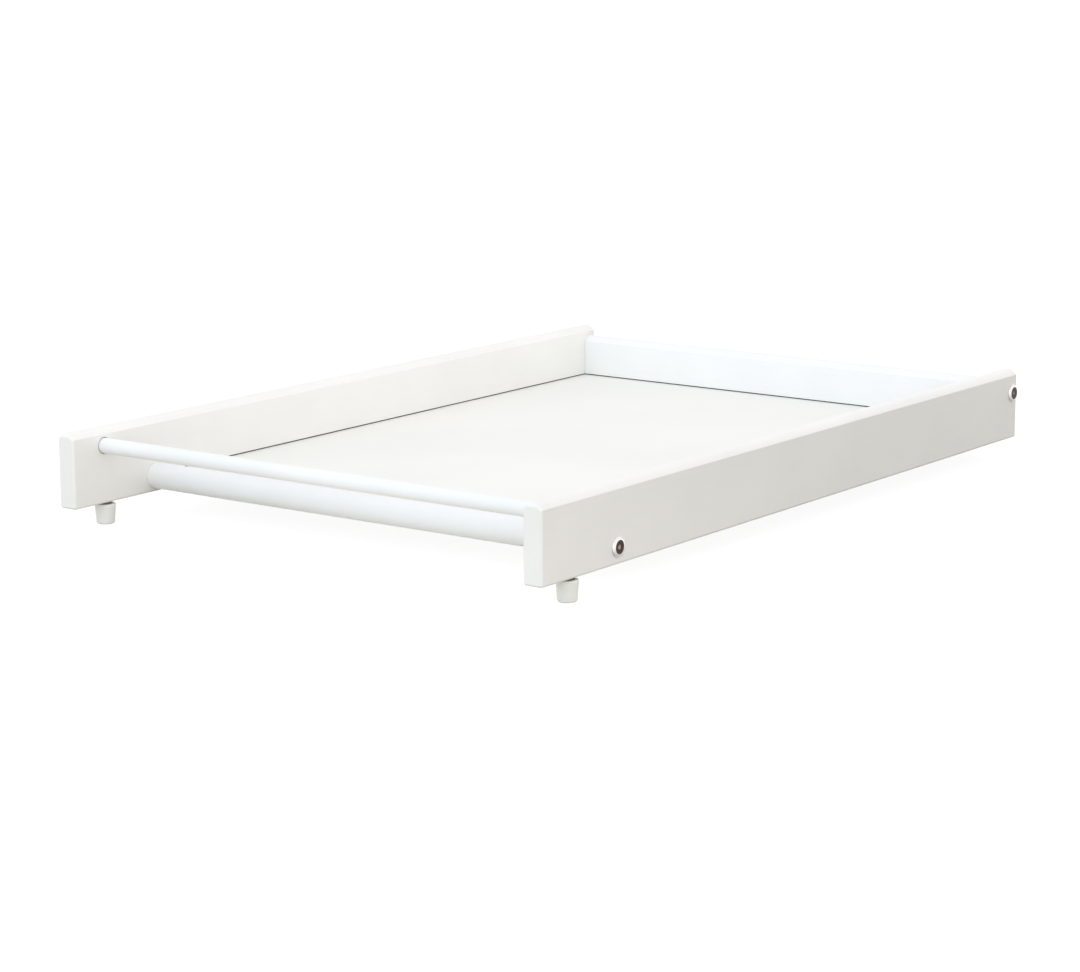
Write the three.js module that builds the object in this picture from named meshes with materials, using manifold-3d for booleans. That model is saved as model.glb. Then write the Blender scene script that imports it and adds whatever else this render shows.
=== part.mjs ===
// Cot top changer: a shallow tray of white lacquered wood that lies across the top of a cot.
// Two side rails carry a grooved back board, a thin base panel and two round front bars. A
// connector bolt with a barrel nut pulls each end of the board and of the lower bar to its rail.
// Millimetres, +Z up. X runs across the tray, and Y runs from its open front to the back board.
// The origin is under the middle of the tray, level with the tips of the two pegs.

import * as THREE from "three";
import { mergeVertices } from "three/addons/utils/BufferGeometryUtils.js";
import Module from "manifold-3d";

const wasm = await Module();
wasm.setup();

// Whole frame
const frameLength = 795; // over the ends of the side rails
const frameWidth = 530; // over the outer faces of the side rails

// Planed edges of the rails and of the back board
const crownRise = 5.8; // the top edge is a shallow arch, this much higher in the middle
const arrisRadius = 2; // where the arch meets the faces
const footRadius = 2; // both long bottom edges

// Side rails
const railHeight = 68.5;
const railThickness = 19;
const railEndRadius = 1.8; // all round each end

// Back board, flush with the undersides and the back ends of the rails
const boardStepDown = 10; // its top edge below the tops of the rails
const boardThickness = 19;

// Base panel and the grooves that hold it on three sides
const panelThickness = 6;
const panelSeatHeight = 10.5; // lower cheek of the groove over the undersides
const panelEdgeClearance = 1; // edge of the panel to the bottom of its groove
const grooveWidth = 7;
const grooveDepth = 7;

// Lower front bar, with a slot along its back for the front edge of the panel
const lowerBarDiameter = 24;
const lowerBarSetback = 104.3; // its axis behind the front ends of the rails
const lowerBarHeight = 15; // its axis over the undersides
const lowerBarSlotDepth = 6;

// Upper front bar, held in blind sockets in the rails
const upperBarDiameter = 14;
const upperBarSetback = 38.8;
const upperBarDrop = 15.8; // its axis below the tops of the rails
const upperBarChamfer = 0.8;
const socketDepth = 10;

// Moulded pegs under the rails: a tapered body, a short collar and a spigot
const pegSetback = 47.2;
const pegBodyHeight = 18.2;
const pegShoulderDiameter = 19;
const pegTipDiameter = 16.6;
const pegTipRadius = 1.6;
const pegShoulderRadius = 1;
const pegCollarDiameter = 10;
const pegCollarHeight = 2;
const pegSpigotDiameter = 8;
const pegSpigotLength = 24;
const pegSpigotChamfer = 1;

// Connector bolts, with a broad low head and a hexagon socket
const boltLength = 50;
const boltShankDiameter = 6;
const boltTipChamfer = 0.8;
const boltBoreDiameter = 7;
const boltBoreSpare = 3; // bore beyond the tip of the bolt
const boltHeadDiameter = 17;
const boltHeadHeight = 1.9;
const boltHeadRim = 0.5; // straight side of the head, under its bevel
const boltFaceDiameter = 11.8; // flat middle of the head
const boltSocketWidth = 4; // across the flats of the hexagon
const boltSocketDepth = 2.2;
const boardBoltDrop = 13; // bolt axis below the top edge of the board

// Barrel nuts, put in from under the lower bar and from behind the back board
const nutDiameter = 10;
const nutLength = 12;
const nutChamfer = 0.6;
const nutSlotWidth = 1.4;
const nutSlotDepth = 1.5;
const nutReach = 6; // bolt beyond the axis of the nut

// Locating dowels, one at each end of the back board between its bolt and its groove
const dowelDiameter = 8;
const dowelLength = 30;
const dowelChamfer = 1;
const dowelDepthInRail = 11;
const dowelWall = 3.8; // wood between the groove and the dowel

// Clearances
const fitGap = 0.3; // round a fitted piece, and at each butted face
const grooveStopWall = 2; // wood left between the front bolt's bore and the groove
const overrun = 1; // a cut past the face that it opens

// Facets
const roundSegments = 40;
const smallRoundSegments = 28;
const edgeSegments = 4;
const crownSegments = 12;
const grooveSegments = 6;
const endSegments = 3;
const turnedEdgeSegments = 3;

// Heights over the undersides of the rails
const boardHeight = railHeight - boardStepDown;
const upperBarHeight = railHeight - upperBarDrop;
const boardBoltHeight = boardHeight - boardBoltDrop;
const grooveTop = panelSeatHeight + grooveWidth;
const dowelHeight = grooveTop + dowelWall + dowelDiameter / 2;

// Places along the tray
const frontY = -frameLength / 2;
const backY = frameLength / 2;
const lowerBarY = frontY + lowerBarSetback;
const upperBarY = frontY + upperBarSetback;
const pegY = frontY + pegSetback;
const boardMidY = backY - boardThickness / 2;
const panelBackY = backY - boardThickness + grooveDepth - panelEdgeClearance;
const panelFrontY = lowerBarY + lowerBarDiameter / 2 - lowerBarSlotDepth + panelEdgeClearance;
const grooveFrontY = lowerBarY + boltBoreDiameter / 2 + grooveStopWall + grooveWidth / 2;
const grooveBackY = panelBackY + panelEdgeClearance;

// Places across the tray
const railX = (frameWidth - railThickness) / 2;
const clearWidth = frameWidth - 2 * railThickness;
const buttedLength = clearWidth - 2 * fitGap;
const upperBarLength = clearWidth + 2 * (socketDepth - fitGap);
const boltBoreDepth = boltLength - railThickness + boltBoreSpare;
const nutSetback = boltLength - railThickness - nutReach;
const nutX = clearWidth / 2 - nutSetback;

const sides = [
  { name: "left", outward: -1 },
  { name: "right", outward: 1 },
];

// A closed geometry as a solid that can be joined and cut.
function solid(geometry) {
  const bare = geometry.clone();
  bare.deleteAttribute("normal");
  bare.deleteAttribute("uv");
  const merged = mergeVertices(bare);
  const index = merged.index.array;
  const corners = [];
  for (let i = 0; i < index.length; i += 3) {
    const [a, b, c] = [index[i], index[i + 1], index[i + 2]];
    if (a !== b && b !== c && c !== a) {
      corners.push(a, b, c);
    }
  }
  const vertProperties = new Float32Array(merged.attributes.position.array);
  const triVerts = new Uint32Array(corners);
  return new wasm.Manifold(new wasm.Mesh({ numProp: 3, vertProperties, triVerts }));
}

// The solid's triangles as a geometry for a mesh.
function geometryOf(shape) {
  const { vertProperties, triVerts } = shape.getMesh();
  const geometry = new THREE.BufferGeometry();
  geometry.setAttribute("position", new THREE.BufferAttribute(vertProperties, 3));
  geometry.setIndex(new THREE.BufferAttribute(triVerts, 1));
  geometry.computeVertexNormals();
  return geometry;
}

// A round bore from one point to another.
function bore(diameter, start, end) {
  const run = new THREE.Vector3().subVectors(end, start);
  const depth = run.length();
  const radius = diameter / 2;
  const geometry = new THREE.CylinderGeometry(radius, radius, depth, smallRoundSegments);
  geometry.translate(0, depth / 2, 0);
  const turn = new THREE.Quaternion();
  turn.setFromUnitVectors(new THREE.Vector3(0, 1, 0), run.normalize());
  geometry.applyQuaternion(turn);
  geometry.translate(start.x, start.y, start.z);
  return solid(geometry);
}

// A box between two corners.
function block(low, high) {
  const size = new THREE.Vector3().subVectors(high, low);
  const geometry = new THREE.BoxGeometry(size.x, size.y, size.z);
  geometry.translate((low.x + high.x) / 2, (low.y + high.y) / 2, (low.z + high.z) / 2);
  return solid(geometry);
}

// A profile of radius and height, turned about the Z axis.
function turned(profile, segments) {
  const points = profile.map(([radius, height]) => new THREE.Vector2(radius, height));
  const geometry = new THREE.LatheGeometry(points, segments);
  geometry.rotateX(Math.PI / 2);
  return geometry;
}

// The quarter round between two faces of a turned profile, from one angle to the next.
function quarterRound(centreRadius, centreHeight, across, up, from) {
  const curve = new THREE.EllipseCurve(
    centreRadius, centreHeight, across, up, from, from + Math.PI / 2,
  );
  return curve.getPoints(turnedEdgeSegments).map((point) => [point.x, point.y]);
}

// A plain turned rod along Z, centred, with chamfered ends.
function turnedRod(diameter, length, chamfer, segments) {
  const radius = diameter / 2;
  const profile = [
    [0, -length / 2],
    [radius - chamfer, -length / 2],
    [radius, chamfer - length / 2],
    [radius, length / 2 - chamfer],
    [radius - chamfer, length / 2],
    [0, length / 2],
  ];
  return turned(profile, segments);
}

// Points along an arc about a centre, from one angle to another.
function arcPoints(centreX, centreZ, radius, from, to, segments) {
  return new THREE.EllipseCurve(centreX, centreZ, radius, radius, from, to).getPoints(segments);
}

// The section of a planed board on its underside: softened foot, arched crown. A small round
// blends the arch into each face, and touches both.
function boardSection(thickness, height) {
  const face = thickness / 2;
  const rise = Math.min(crownRise, face);
  const crown = (face * face + rise * rise) / (2 * rise);
  const crownZ = height - crown;
  const arrisX = face - arrisRadius;
  const arrisZ = crownZ + Math.sqrt((crown - arrisRadius) ** 2 - arrisX ** 2);
  const meeting = Math.atan2(arrisZ - crownZ, arrisX);
  const footX = face - footRadius;
  const arch = arcPoints(0, crownZ, crown, meeting, Math.PI - meeting, crownSegments);
  return new THREE.Shape([
    ...arcPoints(footX, footRadius, footRadius, -Math.PI / 2, 0, edgeSegments),
    ...arcPoints(arrisX, arrisZ, arrisRadius, 0, meeting, edgeSegments),
    ...arch.slice(1, -1),
    ...arcPoints(-arrisX, arrisZ, arrisRadius, Math.PI - meeting, Math.PI, edgeSegments),
    ...arcPoints(-footX, footRadius, footRadius, Math.PI, 1.5 * Math.PI, edgeSegments),
  ]);
}

// A section drawn in X and Z, run along Y, centred, with its ends eased all round.
function runAlong(section, length, endRadius) {
  const geometry = new THREE.ExtrudeGeometry(section, {
    depth: length - 2 * endRadius,
    bevelSegments: endSegments,
    bevelThickness: endRadius,
    bevelSize: endRadius,
    bevelOffset: -endRadius,
  });
  geometry.translate(0, 0, endRadius - length / 2);
  geometry.rotateX(Math.PI / 2);
  return geometry;
}

// A section drawn in Y and Z, run along X from one place to another with square ends.
function runAcross(section, startX, endX) {
  const depth = endX - startX;
  const geometry = new THREE.ExtrudeGeometry(section, {
    depth,
    curveSegments: grooveSegments,
    bevelEnabled: false,
  });
  const toAcross = new THREE.Matrix4().makeBasis(
    new THREE.Vector3(0, 1, 0),
    new THREE.Vector3(0, 0, 1),
    new THREE.Vector3(1, 0, 0),
  );
  geometry.applyMatrix4(toAcross);
  geometry.translate(startX, 0, 0);
  return geometry;
}

// The stopped groove in a rail, with the round ends that its cutter leaves.
function grooveOutline() {
  const radius = grooveWidth / 2;
  const middle = panelSeatHeight + radius;
  const outline = new THREE.Shape();
  outline.absarc(grooveBackY, middle, radius, -Math.PI / 2, Math.PI / 2);
  outline.absarc(grooveFrontY, middle, radius, Math.PI / 2, 1.5 * Math.PI);
  return outline;
}

// A side rail, with its middle plane at x = 0: groove, sockets and bores in its inner face, and
// the bore for the peg in its underside. The bolt bores run through to the outer face.
function sideRail(outward) {
  const section = boardSection(railThickness, railHeight);
  const innerX = (-outward * railThickness) / 2;
  const mouthX = innerX - outward * overrun;
  const throughX = -mouthX;
  const grooveX = innerX + outward * grooveDepth;
  const groove = runAcross(grooveOutline(), Math.min(mouthX, grooveX), Math.max(mouthX, grooveX));
  const boreIn = (diameter, endX, y, z) =>
    bore(diameter, new THREE.Vector3(mouthX, y, z), new THREE.Vector3(endX, y, z));
  const socketX = innerX + outward * socketDepth;
  const dowelX = innerX + outward * (dowelDepthInRail + fitGap);
  const pegBoreTop = pegSpigotLength + 2 * fitGap;
  return solid(runAlong(section, frameLength, railEndRadius))
    .subtract(solid(groove))
    .subtract(boreIn(boltBoreDiameter, throughX, lowerBarY, lowerBarHeight))
    .subtract(boreIn(boltBoreDiameter, throughX, boardMidY, boardBoltHeight))
    .subtract(boreIn(upperBarDiameter + 2 * fitGap, socketX, upperBarY, upperBarHeight))
    .subtract(boreIn(dowelDiameter + 2 * fitGap, dowelX, boardMidY, dowelHeight))
    .subtract(
      bore(
        pegSpigotDiameter + 2 * fitGap,
        new THREE.Vector3(0, pegY, -overrun),
        new THREE.Vector3(0, pegY, pegBoreTop),
      ),
    );
}

// The back board, with its middle plane at y = 0: a groove along its inner face, bolt and dowel
// bores in both ends, and the holes for the barrel nuts in its back face.
function backBoard() {
  const section = boardSection(boardThickness, boardHeight);
  const endX = buttedLength / 2;
  const innerY = -boardThickness / 2;
  let board = solid(runAcross(section, -endX, endX)).subtract(
    block(
      new THREE.Vector3(-endX - overrun, innerY - overrun, panelSeatHeight),
      new THREE.Vector3(endX + overrun, innerY + grooveDepth, grooveTop),
    ),
  );
  const dowelBoreEnd = clearWidth / 2 - (dowelLength - dowelDepthInRail) - fitGap;
  for (const { outward } of sides) {
    const mouthX = outward * (endX + overrun);
    const boltBoreEnd = outward * (clearWidth / 2 - boltBoreDepth);
    board = board
      .subtract(
        bore(
          boltBoreDiameter,
          new THREE.Vector3(mouthX, 0, boardBoltHeight),
          new THREE.Vector3(boltBoreEnd, 0, boardBoltHeight),
        ),
      )
      .subtract(
        bore(
          dowelDiameter + 2 * fitGap,
          new THREE.Vector3(mouthX, 0, dowelHeight),
          new THREE.Vector3(outward * dowelBoreEnd, 0, dowelHeight),
        ),
      )
      .subtract(
        bore(
          nutDiameter + 2 * fitGap,
          new THREE.Vector3(outward * nutX, boardThickness / 2 + overrun, boardBoltHeight),
          new THREE.Vector3(outward * nutX, -nutLength / 2 - fitGap, boardBoltHeight),
        ),
      );
  }
  return board;
}

// The base panel on its underside: tongues into the grooves, with the front corners notched back
// so that the tongues start where the grooves do.
function basePanel() {
  const tongueX = clearWidth / 2 + grooveDepth - panelEdgeClearance;
  const noseX = clearWidth / 2 - panelEdgeClearance;
  const tongueFrontY = grooveFrontY + fitGap;
  const outline = new THREE.Shape([
    new THREE.Vector2(-noseX, panelFrontY),
    new THREE.Vector2(noseX, panelFrontY),
    new THREE.Vector2(noseX, tongueFrontY),
    new THREE.Vector2(tongueX, tongueFrontY),
    new THREE.Vector2(tongueX, panelBackY),
    new THREE.Vector2(-tongueX, panelBackY),
    new THREE.Vector2(-tongueX, tongueFrontY),
    new THREE.Vector2(-noseX, tongueFrontY),
  ]);
  return new THREE.ExtrudeGeometry(outline, { depth: panelThickness, bevelEnabled: false });
}

// The lower front bar about its own axis along X: slot for the panel, a bolt bore in each end
// and the holes for the barrel nuts from underneath.
function lowerFrontBar() {
  const radius = lowerBarDiameter / 2;
  const endX = buttedLength / 2;
  const rod = new THREE.CylinderGeometry(radius, radius, buttedLength, roundSegments);
  rod.rotateZ(-Math.PI / 2);
  let bar = solid(rod).subtract(
    block(
      new THREE.Vector3(-endX - overrun, radius - lowerBarSlotDepth, panelSeatHeight - lowerBarHeight),
      new THREE.Vector3(endX + overrun, radius + overrun, grooveTop - lowerBarHeight),
    ),
  );
  for (const { outward } of sides) {
    bar = bar
      .subtract(
        bore(
          boltBoreDiameter,
          new THREE.Vector3(outward * (endX + overrun), 0, 0),
          new THREE.Vector3(outward * (clearWidth / 2 - boltBoreDepth), 0, 0),
        ),
      )
      .subtract(
        bore(
          nutDiameter + 2 * fitGap,
          new THREE.Vector3(outward * nutX, 0, -radius - overrun),
          new THREE.Vector3(outward * nutX, 0, nutLength / 2 + fitGap),
        ),
      );
  }
  return bar;
}

// A peg with its tip at z = 0: rounded tip, tapered body, collar and chamfered spigot.
function peg() {
  const tip = pegTipDiameter / 2;
  const shoulder = pegShoulderDiameter / 2;
  const collar = pegCollarDiameter / 2;
  const spigot = pegSpigotDiameter / 2;
  const collarTop = pegBodyHeight + pegCollarHeight;
  const spigotTop = collarTop + pegSpigotLength;
  const shoulderRise = pegBodyHeight - pegShoulderRadius;
  const profile = [
    [0, 0],
    ...quarterRound(tip - pegTipRadius, pegTipRadius, pegTipRadius, pegTipRadius, -Math.PI / 2),
    ...quarterRound(
      shoulder - pegShoulderRadius, shoulderRise, pegShoulderRadius, pegShoulderRadius, 0,
    ),
    [collar, pegBodyHeight],
    [collar, collarTop],
    [spigot, collarTop],
    [spigot, spigotTop - pegSpigotChamfer],
    [spigot - pegSpigotChamfer, spigotTop],
    [0, spigotTop],
  ];
  return turned(profile, roundSegments);
}

// A connector bolt along Z, with the seat of its head at z = 0 and its shank downwards.
function connectorBolt() {
  const shank = boltShankDiameter / 2;
  const head = boltHeadDiameter / 2;
  const face = boltFaceDiameter / 2;
  const profile = [
    [0, -boltLength],
    [shank - boltTipChamfer, -boltLength],
    [shank, boltTipChamfer - boltLength],
    [shank, 0],
    [head, 0],
    ...quarterRound(face, boltHeadRim, head - face, boltHeadHeight - boltHeadRim, 0),
    [0, boltHeadHeight],
  ];
  const corner = boltSocketWidth / Math.sqrt(3);
  const depth = boltSocketDepth + overrun;
  const hexagon = new THREE.CylinderGeometry(corner, corner, depth, 6);
  hexagon.rotateX(Math.PI / 2);
  hexagon.translate(0, 0, boltHeadHeight - boltSocketDepth + depth / 2);
  return solid(turned(profile, smallRoundSegments)).subtract(solid(hexagon));
}

// A barrel nut along Z: cross hole for the bolt along X, and a driver slot in its upper end.
function barrelNut() {
  const radius = nutDiameter / 2;
  const top = nutLength / 2;
  const rod = turnedRod(nutDiameter, nutLength, nutChamfer, smallRoundSegments);
  return solid(rod)
    .subtract(
      bore(
        boltShankDiameter + 2 * fitGap,
        new THREE.Vector3(-radius - overrun, 0, 0),
        new THREE.Vector3(radius + overrun, 0, 0),
      ),
    )
    .subtract(
      block(
        new THREE.Vector3(-radius - overrun, -nutSlotWidth / 2, top - nutSlotDepth),
        new THREE.Vector3(radius + overrun, nutSlotWidth / 2, top + overrun),
      ),
    );
}

// Finishes
function whiteLacquer() {
  return new THREE.MeshStandardMaterial({ color: 0xf3f3ef, roughness: 0.38, metalness: 0 });
}

function whitePanelFinish() {
  return new THREE.MeshStandardMaterial({ color: 0xf6f6f3, roughness: 0.42, metalness: 0 });
}

function pegFinish() {
  return new THREE.MeshStandardMaterial({ color: 0xebebe6, roughness: 0.45, metalness: 0 });
}

function brightNickel() {
  return new THREE.MeshStandardMaterial({ color: 0xcbc8c2, roughness: 0.18, metalness: 1 });
}

function zincPlate() {
  return new THREE.MeshStandardMaterial({ color: 0xb4b6b8, roughness: 0.36, metalness: 1 });
}

function bareBeech() {
  return new THREE.MeshStandardMaterial({ color: 0xd3b286, roughness: 0.75, metalness: 0 });
}

// A named mesh at a place in the frame.
function piece(name, geometry, material, x, y, z) {
  const mesh = new THREE.Mesh(geometry, material);
  mesh.name = name;
  mesh.position.set(x, y, z);
  return mesh;
}

// The frame, with z = 0 at the undersides of its rails
const frame = new THREE.Group();
frame.position.z = pegBodyHeight + pegCollarHeight + fitGap;

frame.add(piece("back_board", geometryOf(backBoard()), whiteLacquer(), 0, boardMidY, 0));
frame.add(piece("base_panel", basePanel(), whitePanelFinish(), 0, 0, panelSeatHeight));
frame.add(
  piece("lower_front_bar", geometryOf(lowerFrontBar()), whiteLacquer(), 0, lowerBarY, lowerBarHeight),
);

const upperRod = turnedRod(upperBarDiameter, upperBarLength, upperBarChamfer, roundSegments);
const upperBar = piece("upper_front_bar", upperRod, whiteLacquer(), 0, upperBarY, upperBarHeight);
upperBar.rotation.y = Math.PI / 2;
frame.add(upperBar);

for (const { name, outward } of sides) {
  const rail = geometryOf(sideRail(outward));
  frame.add(piece(`${name}_side_rail`, rail, whiteLacquer(), outward * railX, 0, 0));
  frame.add(piece(`${name}_peg`, peg(), pegFinish(), outward * railX, pegY, -frame.position.z));

  // The bolts, heads outwards
  const headX = outward * (frameWidth / 2 + fitGap);
  for (const [place, y, z] of [
    ["front", lowerBarY, lowerBarHeight],
    ["back", boardMidY, boardBoltHeight],
  ]) {
    const bolt = geometryOf(connectorBolt());
    const boltPiece = piece(`${place}_${name}_bolt`, bolt, brightNickel(), headX, y, z);
    boltPiece.rotation.y = (outward * Math.PI) / 2;
    frame.add(boltPiece);
  }

  // The barrel nuts, slots down in the bar and backwards in the board
  for (const [place, y, z, turn] of [
    ["front", lowerBarY, lowerBarHeight, Math.PI],
    ["back", boardMidY, boardBoltHeight, -Math.PI / 2],
  ]) {
    const nut = geometryOf(barrelNut());
    const nutPiece = piece(`${place}_${name}_barrel_nut`, nut, zincPlate(), outward * nutX, y, z);
    nutPiece.rotation.x = turn;
    frame.add(nutPiece);
  }

  // The dowel, across the joint between the board and the rail
  const dowelX = outward * (clearWidth / 2 + dowelDepthInRail - dowelLength / 2);
  const dowelRod = turnedRod(dowelDiameter, dowelLength, dowelChamfer, smallRoundSegments);
  const dowel = piece(`${name}_dowel`, dowelRod, bareBeech(), dowelX, boardMidY, dowelHeight);
  dowel.rotation.y = Math.PI / 2;
  frame.add(dowel);
}

const group = new THREE.Group();
group.add(frame);

export default group;
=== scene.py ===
# Cot top changer: white lacquered rails, back board and bars round a thin base panel, held
# together by connector bolts, barrel nuts and dowels, with two moulded pegs underneath.
# Metres, +Z up. X runs across the tray, and Y from its open front to the back board.
from math import atan2, cos, pi, radians, sin, sqrt

import bmesh
import bpy
from mathutils import Matrix, Vector


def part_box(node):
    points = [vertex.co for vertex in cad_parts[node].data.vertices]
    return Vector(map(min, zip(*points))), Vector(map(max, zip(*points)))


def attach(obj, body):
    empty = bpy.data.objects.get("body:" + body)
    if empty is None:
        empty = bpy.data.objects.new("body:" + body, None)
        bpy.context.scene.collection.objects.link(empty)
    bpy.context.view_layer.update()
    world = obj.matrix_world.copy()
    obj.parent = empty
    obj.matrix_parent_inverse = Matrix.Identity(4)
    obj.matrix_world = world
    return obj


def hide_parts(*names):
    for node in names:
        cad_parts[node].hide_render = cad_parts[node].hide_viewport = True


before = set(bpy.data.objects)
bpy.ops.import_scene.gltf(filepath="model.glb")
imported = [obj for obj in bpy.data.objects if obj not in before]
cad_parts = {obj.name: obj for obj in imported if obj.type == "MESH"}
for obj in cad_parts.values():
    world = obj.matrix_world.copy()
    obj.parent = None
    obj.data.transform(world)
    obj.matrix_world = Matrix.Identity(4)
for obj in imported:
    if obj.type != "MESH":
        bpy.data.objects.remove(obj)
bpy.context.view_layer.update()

MM = 0.001

# Planed edges of the rails and of the back board
CROWN_RISE = 5.8 * MM
CROWN_POWER = 1.9
ARRIS_EASE = 0.25 * MM
ARRIS_ANGLE = 24
FOOT_RADIUS = 2.4 * MM
RAIL_END_RADIUS = 2.2 * MM
RAIL_END_PROFILE = 0.4
ROLL_RADIUS = 4.3 * MM
ROLL_PROFILE = 0.38
ROLL_STEPS = 10
BUTT_EASE = 0.2 * MM

# Joints
BUTT_GAP = 0.12 * MM
FIT_GAP = 0.15 * MM
GROOVE_WIDTH = 7 * MM
GROOVE_DEPTH = 7 * MM
GROOVE_STOP_WALL = 2 * MM
GROOVE_END_SHARE = 0.999
SOCKET_DEPTH = 10 * MM
SOCKET_GAP = 0.5 * MM
BAR_SLOT_DEPTH = 6 * MM
PANEL_EASE = 0.5 * MM
MOUTH_EASE = 0.4 * MM
SOCKET_EASE = 0.15 * MM

# Fasteners
BOLT_BORE = 7 * MM
BOLT_BORE_SPARE = 3 * MM
BOLT_LENGTH = 50 * MM
BOLT_HEAD = 17 * MM
BOLT_HEAD_HEIGHT = 2.15 * MM
BOLT_HEAD_RIM = 0.5 * MM
BOLT_HEAD_EASE = 0.2 * MM
BOLT_FACE = 11.9 * MM
BOLT_SHANK = 6 * MM
BOLT_SOCKET_WIDTH = 4 * MM
BOLT_SOCKET_DEPTH = 2.2 * MM
BOLT_SOCKET_MOUTH = 0.2 * MM
BOLT_TIP = 0.6 * MM
THREAD_LENGTH = 24 * MM
THREAD_PITCH = 1 * MM
THREAD_DEPTH = 0.6 * MM
THREAD_FOOT = 0.92 * MM
THREAD_SUNK = 0.15 * MM
NUT_BORE = 10.6 * MM
NUT_CHAMFER = 0.6 * MM
NUT_SLOT_WIDTH = 1.4 * MM
NUT_SLOT_DEPTH = 1.5 * MM
NUT_HOLE_GAP = 0.2 * MM
NUT_HOLE_CHAMFER = 0.6 * MM
NUT_HOLE_SUNK = 0.3 * MM
DOWEL_BORE = 8.4 * MM
DOWEL_CHAMFER = 1 * MM
DOWEL_FLUTES = 18
DOWEL_FLUTE_DEPTH = 0.35 * MM

# Pegs
PEG_SHOULDER = 19 * MM
PEG_TIP = 16.6 * MM
PEG_BODY_HEIGHT = 18.2 * MM
PEG_TIP_RADIUS = 1.6 * MM
PEG_SHOULDER_RADIUS = 1 * MM
PEG_COLLAR = 10 * MM
PEG_COLLAR_HEIGHT = 2 * MM
PEG_SPIGOT = 8 * MM
PEG_SPIGOT_CHAMFER = 1 * MM

# Facets, and the angles in degrees up to which they shade smooth
ROUND = 96
SMALL_ROUND = 48
HEXAGON = 6
CROWN_STEPS = 14
EDGE_STEPS = 5
EASE_STEPS = 3
FLUTE_VERTICES = 4
SMOOTH_ANGLE = 32
BOLT_SMOOTH_ANGLE = 35
DOWEL_SMOOTH_ANGLE = 50

# Room for cutters and tests
OVERRUN = 1 * MM
CUTTER_SPARE = 0.02 * MM
WELD = 0.003 * MM
SAME_PLACE = 0.001 * MM

SIDES = {"left": -1, "right": 1}

# Places, from the CAD parts in model.glb
right_rail_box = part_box("right_side_rail")
board_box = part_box("back_board")
panel_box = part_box("base_panel")
lower_bar_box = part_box("lower_front_bar")
upper_bar_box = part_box("upper_front_bar")
INNER_X = right_rail_box[0].x
OUTER_X = right_rail_box[1].x
FOOT_Z = right_rail_box[0].z


def middle(node):
    low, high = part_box(node)
    return (low + high) / 2


def bolt_axis(side, place):
    return middle(f"{place}_{side}_bolt")


def groove_front(side):
    """Where a rail's groove stops short of the bore of the front bolt."""
    return bolt_axis(side, "front").y + BOLT_BORE / 2 + GROOVE_STOP_WALL


def dowel_ends(side):
    """The two ends of a dowel on X, the one in the back board first."""
    low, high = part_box(f"{side}_dowel")
    return sorted((low.x, high.x), key=abs)


# Edit mode

def only(thing):
    bpy.ops.object.select_all(action="DESELECT")
    thing.select_set(True)
    bpy.context.view_layer.objects.active = thing


def settle(thing, name):
    """Names a thing and puts its place in its mesh."""
    only(thing)
    bpy.ops.object.transform_apply(location=True, rotation=True, scale=True)
    thing.name = name
    thing.data.name = name
    return thing


def edit(thing):
    only(thing)
    bpy.ops.object.mode_set(mode="EDIT")


def done():
    bpy.ops.object.mode_set(mode="OBJECT")


def choose_faces(thing, test):
    """Selects the faces whose middle and normal pass the test."""
    bpy.ops.mesh.select_mode(type="FACE")
    mesh = bmesh.from_edit_mesh(thing.data)
    for face in mesh.faces:
        face.select_set(test(face.calc_center_median(), face.normal))
    mesh.select_flush_mode()
    bmesh.update_edit_mesh(thing.data)


def choose_edges(thing, test):
    """Selects the edges whose two ends pass the test."""
    bpy.ops.mesh.select_mode(type="EDGE")
    bpy.ops.mesh.select_all(action="DESELECT")
    mesh = bmesh.from_edit_mesh(thing.data)
    for edge in mesh.edges:
        a, b = (vert.co for vert in edge.verts)
        edge.select_set(test(a, b))
    mesh.select_flush_mode()
    bmesh.update_edit_mesh(thing.data)


def choose_vertices(thing, test):
    """Selects the vertices whose place passes the test."""
    bpy.ops.mesh.select_mode(type="VERT")
    mesh = bmesh.from_edit_mesh(thing.data)
    for vert in mesh.verts:
        vert.select_set(test(vert.co))
    mesh.select_flush_mode()
    bmesh.update_edit_mesh(thing.data)


def near(a, b):
    return abs(a - b) < SAME_PLACE


def facing(share):
    """Whether a normal points mostly along an axis, by its share on that axis."""
    return share > 0.5


def bevel(width, steps, profile=0.5):
    bpy.ops.mesh.bevel(
        offset=width, segments=steps, profile=profile, affect="EDGES", clamp_overlap=False
    )


def outwards():
    bpy.ops.mesh.select_all(action="SELECT")
    bpy.ops.mesh.normals_make_consistent(inside=False)


# Shapes that several pieces start from

def block(name, low, high):
    low, high = Vector(low), Vector(high)
    bpy.ops.object.select_all(action="DESELECT")
    bpy.ops.mesh.primitive_cube_add(size=1, location=(low + high) / 2)
    thing = bpy.context.object
    thing.scale = high - low
    return settle(thing, name)


def along(axis):
    """The turn that takes the Z axis to another one."""
    return Vector((0, 0, 1)).rotation_difference(Vector(axis)).to_matrix().to_4x4()


def raised(thing, layers, widen):
    """Extrudes a face upwards through its layers, each one a half width and a height, and resizes
    it at each along the axes that widen picks."""
    edit(thing)
    bpy.ops.mesh.select_mode(type="FACE")
    bpy.ops.mesh.select_all(action="SELECT")
    for before, after in zip(layers, layers[1:]):
        bpy.ops.mesh.extrude_region_move(
            TRANSFORM_OT_translate={"value": (0, 0, after[1] - before[1])}
        )
        share = after[0] / before[0]
        value = [share if picked else 1 for picked in widen]
        bpy.ops.transform.resize(value=value, center_override=(0, 0, after[1]))
    outwards()
    done()


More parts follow.
